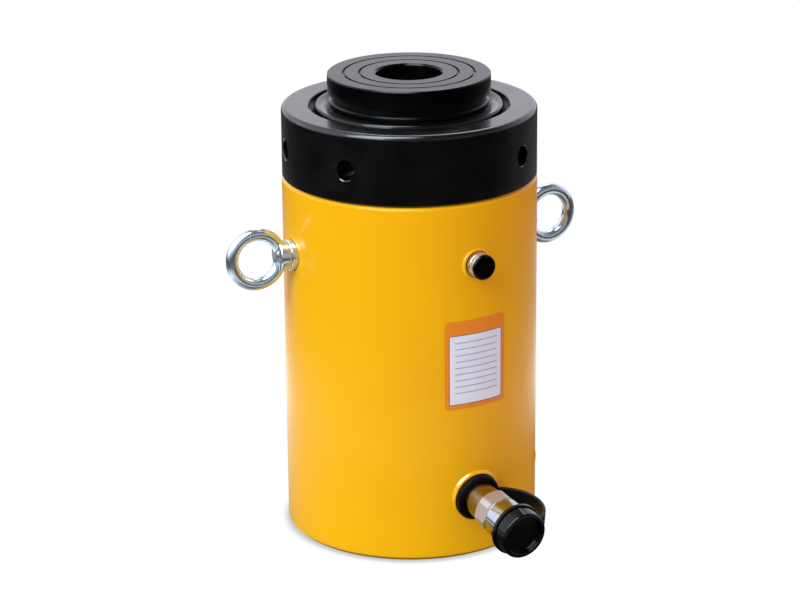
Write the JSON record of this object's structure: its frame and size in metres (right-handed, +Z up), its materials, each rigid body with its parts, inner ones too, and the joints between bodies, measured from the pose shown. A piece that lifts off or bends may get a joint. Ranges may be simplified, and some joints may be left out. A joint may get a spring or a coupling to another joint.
{
  "type": "hollow plunger hydraulic cylinder",
  "caption": "Hollow plunger hydraulic cylinder: barrel with a centre tube, threaded plunger, lock nut, tilting saddle, lifting eyes, overflow port and capped quick coupler.",
  "frame": {"origin": "centre of the foot, on the axis of the centre hole", "axes": "+Z up the centre hole, coupler and overflow port facing -Y, lifting eyes along X"},
  "size_m": [0.2539, 0.2238, 0.304],
  "materials": {
    "yellow_enamel": "glossy yellow enamel over steel",
    "black_oxide": "oiled black oxide on turned alloy steel",
    "dark_plunger": "black nitrided steel with a trapezoidal thread",
    "ground_steel": "turned and ground steel",
    "bright_zinc": "bright zinc plate over a drop forging",
    "nickel_plate": "nickel plated steel, flats brushed, sleeve polished",
    "seal_polyurethane": "polyurethane lip seals",
    "nitrile_rubber": "nitrile O-rings, loop and strap",
    "bearing_plastic": "fabric-filled guide rings and backup rings",
    "bonded_seal": "steel washers with bonded rubber",
    "black_plastic": "moulded black dust caps"
  },
  "bodies": {
    "cylinder": {"cylinder_barrel": "yellow_enamel", "base_cap": "black_oxide", "base_cap_seal": "nitrile_rubber", "centre_tube": "ground_steel", "centre_tube_seal": "nitrile_rubber", "centre_tube_lock_ring": "ground_steel", "left_lifting_eye": "bright_zinc", "right_lifting_eye": "bright_zinc", "lifting_eye_washers": "bright_zinc", "overflow_fitting": "bright_zinc", "overflow_seal": "bonded_seal", "coupler_adapter": "nickel_plate", "coupler_seal": "bonded_seal", "coupler_body": "nickel_plate", "coupler_snap_ring": "ground_steel", "coupler_spring": "ground_steel", "strap_loop": "nitrile_rubber", "dust_cap_strap": "nitrile_rubber", "port_plug": "yellow_enamel"},
    "plunger": {"plunger": "dark_plunger", "piston_seal": "seal_polyurethane", "piston_backup_ring": "bearing_plastic", "piston_wear_ring": "bearing_plastic", "tube_seal": "seal_polyurethane", "tube_backup_ring": "bearing_plastic", "tube_wear_ring": "bearing_plastic", "tube_wiper": "seal_polyurethane", "saddle_seat": "ground_steel"},
    "lock_nut": {"lock_nut": "black_oxide"},
    "saddle": {"saddle": "black_oxide", "saddle_retaining_ring": "ground_steel"},
    "coupler_sleeve": {"coupler_sleeve": "nickel_plate"},
    "coupler_poppet": {"coupler_poppet": "ground_steel"},
    "dust_cap": {"dust_cap": "black_plastic"},
    "overflow_cap": {"overflow_cap": "black_plastic"}
  },
  "joints": [
    {"name": "lock_nut_turn", "type": "hinge", "parent": "cylinder", "child": "lock_nut", "pos_m": [0, 0, 0.25905], "axis": [0, 0, -1], "range_deg": [0, 9000]},
    {"name": "plunger_lift", "type": "slide", "parent": "cylinder", "child": "plunger", "axis": [0, 0, 1], "range_m": [0, 0.15]},
    {"name": "saddle_tilt", "type": "hinge", "parent": "plunger", "child": "saddle", "pos_m": [0, 0, 0.31605], "axis": [1, 0, 0], "range_deg": [-3, 3]},
    {"name": "coupler_sleeve_turn", "type": "hinge", "parent": "cylinder", "child": "coupler_sleeve", "pos_m": [0, -0.1199, 0.03557], "axis": [0, -0.9919, -0.1271], "continuous": true},
    {"name": "coupler_poppet_travel", "type": "slide", "parent": "cylinder", "child": "coupler_poppet", "axis": [0, 0.9919, 0.1271], "range_m": [0, 0.003], "stiffness_N_per_m": 1500, "springref_m": -0.004, "deforming": ["coupler_spring"]},
    {"name": "dust_cap_pull", "type": "slide", "parent": "cylinder", "child": "dust_cap", "axis": [0, -0.9919, -0.1271], "range_m": [0, 0.015], "deforming": ["dust_cap_strap"]},
    {"name": "overflow_cap_pull", "type": "slide", "parent": "cylinder", "child": "overflow_cap", "axis": [0, -1, 0], "range_m": [0, 0.012]}
  ],
  "couplings": [
    {"joint": "plunger_lift", "follows": "lock_nut_turn", "m_per_rad": 0.00095493}
  ]
}
